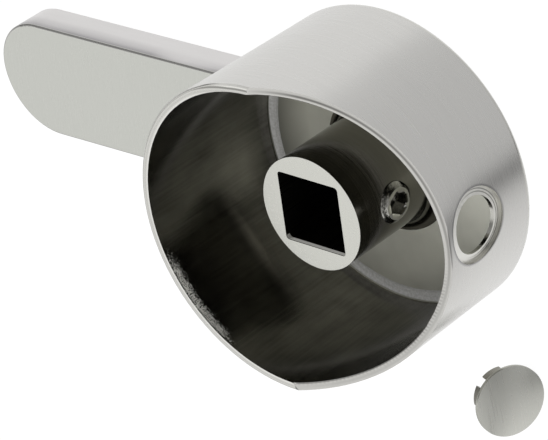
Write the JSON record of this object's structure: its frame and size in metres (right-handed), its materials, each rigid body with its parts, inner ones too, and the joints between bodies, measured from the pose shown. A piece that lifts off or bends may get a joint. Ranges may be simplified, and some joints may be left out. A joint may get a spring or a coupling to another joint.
{
  "type": "replacement tap handle",
  "caption": "Satin lever handle for a basin mixer tap: round skirt with an oblique relief, square stem socket, side grub screw and a loose snap-in plug.",
  "frame": {"origin": "on the axis of the square stem socket, at the closed flat face that the handle lies on", "axes": "+X along the lever towards its tip, +Z along the stem axis out of the open skirt, +Y completes a right-handed frame"},
  "size_m": [0.0803, 0.0516, 0.0234],
  "materials": {
    "satin_nickel": "brushed and nickel plated casting",
    "bright_steel": "bright plated screw",
    "brushed_cap": "brushed and nickel plated pressing"
  },
  "bodies": {
    "root": {"handle": "satin_nickel", "grub_screw": "bright_steel", "hole_plug": "brushed_cap"}
  },
  "joints": []
}
